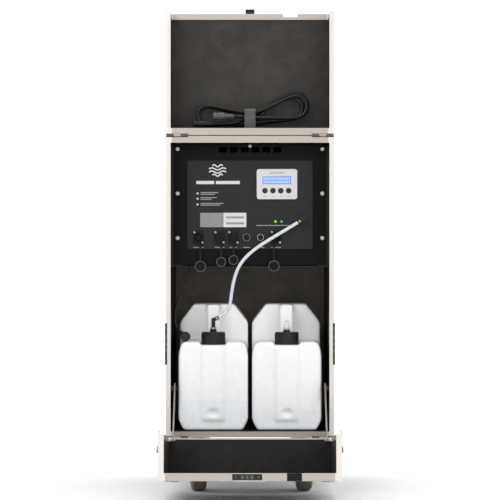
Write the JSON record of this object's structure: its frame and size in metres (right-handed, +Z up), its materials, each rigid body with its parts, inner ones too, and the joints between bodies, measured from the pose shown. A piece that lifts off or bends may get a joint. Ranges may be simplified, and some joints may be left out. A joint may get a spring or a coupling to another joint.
{
  "type": "fog machine",
  "caption": "Touring fog machine built into a black road case on casters, with fold-down and fold-up doors, control panel and fluid jugs.",
  "frame": {"origin": "centre of the footprint, on the floor under the caster wheels", "axes": "+Z up, controls and doors facing -Y, +X to the right as seen from the front"},
  "size_m": [0.4148, 0.8408, 1.1355],
  "materials": {
    "black_laminate": "black phenolic laminate on plywood, satin",
    "door_lining": "dark brown-black laminate, satin",
    "aluminium_edge": "brushed extrusion",
    "zinc_steel": "zinc plated pressing",
    "chrome_fitting": "polished",
    "panel_black": "fine textured black",
    "chassis_steel": "black powder coat",
    "heater_metal": "cast",
    "brass_fitting": "machined",
    "tread": "grey-brown moulded tread",
    "mat_rubber": "ribbed",
    "cap_rubber": "soft moulding",
    "black_plastic": "moulded",
    "white_plastic": "moulded",
    "jug_plastic": "translucent blow moulding",
    "fluid": "clear fluid",
    "display_glass": "backlit window",
    "board": "printed circuit board",
    "hose_white": "flexible tube",
    "cord_black": "cord jacket",
    "tie_grey": "hook and loop strap"
  },
  "bodies": {
    "case": {"case_walls": "black_laminate", "case_back_wall": "black_laminate", "case_front_rim": "aluminium_edge", "case_edge_trim": "aluminium_edge", "mounting_rails": "zinc_steel", "case_hinges": "zinc_steel", "side_dishes": "zinc_steel", "outlet_collar": "chassis_steel", "bay_mat": "mat_rubber", "caster_mounts": "zinc_steel", "rear_forks": "zinc_steel", "front_panel": "panel_black", "panel_screws": "chrome_fitting", "panel_sockets": "black_plastic", "display_bezel": "white_plastic", "lcd_glass": "display_glass", "hose_port": "chrome_fitting", "socket_caps": "cap_rubber", "machine_chassis": "chassis_steel", "heater_block": "heater_metal", "nozzle": "brass_fitting", "pump": "black_plastic", "control_board": "board", "jug_left": "jug_plastic", "jug_fluid_left": "fluid", "jug_cap_left": "black_plastic", "suction_hose": "hose_white", "sensor_lead": "cord_black", "sensor_plug": "black_plastic"},
    "upper_door": {"upper_door_shell": "door_lining", "upper_door_trim": "aluminium_edge", "cord_hank": "cord_black", "cord_plugs": "black_plastic", "cord_tie": "tie_grey"},
    "lower_door": {"lower_door_shell": "black_laminate", "lower_door_trim": "aluminium_edge", "lower_door_dishes": "zinc_steel"},
    "stay_left": {"stay_left": "zinc_steel"},
    "stay_right": {"stay_right": "zinc_steel"},
    "right_jug": {"jug_right": "jug_plastic", "jug_fluid_right": "fluid"},
    "right_jug_cap": {"jug_cap_right": "black_plastic"},
    "center_latch_key": {"center_latch_key": "zinc_steel"},
    "center_latch_hook": {"center_latch_hook": "zinc_steel"},
    "left_latch_key": {"left_latch_key": "zinc_steel"},
    "left_latch_hook": {"left_latch_hook": "zinc_steel"},
    "right_latch_key": {"right_latch_key": "zinc_steel"},
    "right_latch_hook": {"right_latch_hook": "zinc_steel"},
    "handle_left": {"handle_left": "chrome_fitting"},
    "caster_fork_front_left": {"caster_fork_front_left": "zinc_steel"},
    "caster_wheel_front_left": {"caster_wheel_front_left": "tread"},
    "caster_wheel_rear_left": {"caster_wheel_rear_left": "tread"},
    "handle_right": {"handle_right": "chrome_fitting"},
    "caster_fork_front_right": {"caster_fork_front_right": "zinc_steel"},
    "caster_wheel_front_right": {"caster_wheel_front_right": "tread"},
    "caster_wheel_rear_right": {"caster_wheel_rear_right": "tread"},
    "button_1": {"button_1": "black_plastic"},
    "button_2": {"button_2": "black_plastic"},
    "button_3": {"button_3": "black_plastic"},
    "button_4": {"button_4": "black_plastic"}
  },
  "joints": [
    {"name": "upper_door_hinge", "type": "hinge", "parent": "case", "child": "upper_door", "pos_m": [0, -0.00162, 0.832], "axis": [1, 0, 0], "range_deg": [0, 180]},
    {"name": "lower_door_hinge", "type": "hinge", "parent": "case", "child": "lower_door", "pos_m": [0, -0.00162, 0.13], "axis": [-1, 0, 0], "range_deg": [0, 84]},
    {"name": "stay_left_pivot", "type": "hinge", "parent": "lower_door", "child": "stay_left", "pos_m": [-0.1747, -0.11555, 0.13398], "axis": [-1, 0, 0], "range_deg": [-42, 0]},
    {"name": "left_latch_turn", "type": "hinge", "parent": "lower_door", "child": "left_latch_key", "pos_m": [-0.194, -0.22156, 0.12295], "axis": [-1, 0, 0], "range_deg": [0, 180]},
    {"name": "left_latch_throw", "type": "slide", "parent": "lower_door", "child": "left_latch_hook", "axis": [0.6247, -0.0816, -0.7766], "range_m": [0, 0.0064]},
    {"name": "handle_left_lift", "type": "hinge", "parent": "case", "child": "handle_left", "pos_m": [-0.188, 0.21338, 0.721], "axis": [0, 1, 0], "range_deg": [0, 90], "stiffness_Nm_per_rad": 0.3},
    {"name": "caster_front_left_swivel", "type": "hinge", "parent": "case", "child": "caster_fork_front_left", "pos_m": [-0.124, 0.10838, 0], "axis": [0, 0, 1], "continuous": true},
    {"name": "caster_front_left_roll", "type": "hinge", "parent": "caster_fork_front_left", "child": "caster_wheel_front_left", "pos_m": [-0.12121, 0.0765, 0.05], "axis": [0.9962, 0.0872, 0], "continuous": true},
    {"name": "caster_rear_left_roll", "type": "hinge", "parent": "case", "child": "caster_wheel_rear_left", "pos_m": [-0.124, 0.34838, 0.05], "axis": [1, 0, 0], "continuous": true},
    {"name": "stay_right_pivot", "type": "hinge", "parent": "lower_door", "child": "stay_right", "pos_m": [0.1747, -0.11555, 0.13398], "axis": [-1, 0, 0], "range_deg": [-42, 0]},
    {"name": "right_latch_turn", "type": "hinge", "parent": "lower_door", "child": "right_latch_key", "pos_m": [0.194, -0.22156, 0.12295], "axis": [1, 0, 0], "range_deg": [0, 180]},
    {"name": "right_latch_throw", "type": "slide", "parent": "lower_door", "child": "right_latch_hook", "axis": [-0.6247, -0.0816, -0.7766], "range_m": [0, 0.0064]},
    {"name": "handle_right_lift", "type": "hinge", "parent": "case", "child": "handle_right", "pos_m": [0.188, 0.21338, 0.721], "axis": [0, -1, 0], "range_deg": [0, 90], "stiffness_Nm_per_rad": 0.3},
    {"name": "caster_front_right_swivel", "type": "hinge", "parent": "case", "child": "caster_fork_front_right", "pos_m": [0.124, 0.10838, 0], "axis": [0, 0, 1], "continuous": true},
    {"name": "caster_front_right_roll", "type": "hinge", "parent": "caster_fork_front_right", "child": "caster_wheel_front_right", "pos_m": [0.12679, 0.0765, 0.05], "axis": [0.9962, 0.0872, 0], "continuous": true},
    {"name": "caster_rear_right_roll", "type": "hinge", "parent": "case", "child": "caster_wheel_rear_right", "pos_m": [0.124, 0.34838, 0.05], "axis": [1, 0, 0], "continuous": true},
    {"name": "center_latch_turn", "type": "hinge", "parent": "upper_door", "child": "center_latch_key", "pos_m": [0, 0.09688, 1.093], "axis": [0, 1, 0], "range_deg": [0, 180]},
    {"name": "center_latch_throw", "type": "slide", "parent": "upper_door", "child": "center_latch_hook", "axis": [0, -0.6247, -0.7809], "range_m": [0, 0.0064]},
    {"name": "button_1_press", "type": "slide", "parent": "case", "child": "button_1", "axis": [0, 1, 0], "range_m": [0, 0.0015], "stiffness_N_per_m": 300},
    {"name": "button_2_press", "type": "slide", "parent": "case", "child": "button_2", "axis": [0, 1, 0], "range_m": [0, 0.0015], "stiffness_N_per_m": 300},
    {"name": "button_3_press", "type": "slide", "parent": "case", "child": "button_3", "axis": [0, 1, 0], "range_m": [0, 0.0015], "stiffness_N_per_m": 300},
    {"name": "button_4_press", "type": "slide", "parent": "case", "child": "button_4", "axis": [0, 1, 0], "range_m": [0, 0.0015], "stiffness_N_per_m": 300},
    {"name": "right_jug_lift_out", "type": "slide", "parent": "case", "child": "right_jug", "axis": [0, -1, 0], "range_m": [0, 0.7]},
    {"name": "right_jug_cap_screw", "type": "hinge", "parent": "right_jug", "child": "right_jug_cap", "pos_m": [0.0858, 0.05038, 0.36], "axis": [0, 0, 1], "range_deg": [0, 450]}
  ],
  "couplings": [
    {"joint": "stay_left_pivot", "follows": "lower_door_hinge", "ratio": -0.5},
    {"joint": "left_latch_throw", "follows": "left_latch_turn", "m_per_rad": 0.0020382},
    {"joint": "stay_right_pivot", "follows": "lower_door_hinge", "ratio": -0.5},
    {"joint": "right_latch_throw", "follows": "right_latch_turn", "m_per_rad": 0.0020382},
    {"joint": "center_latch_throw", "follows": "center_latch_turn", "m_per_rad": 0.0020382}
  ]
}
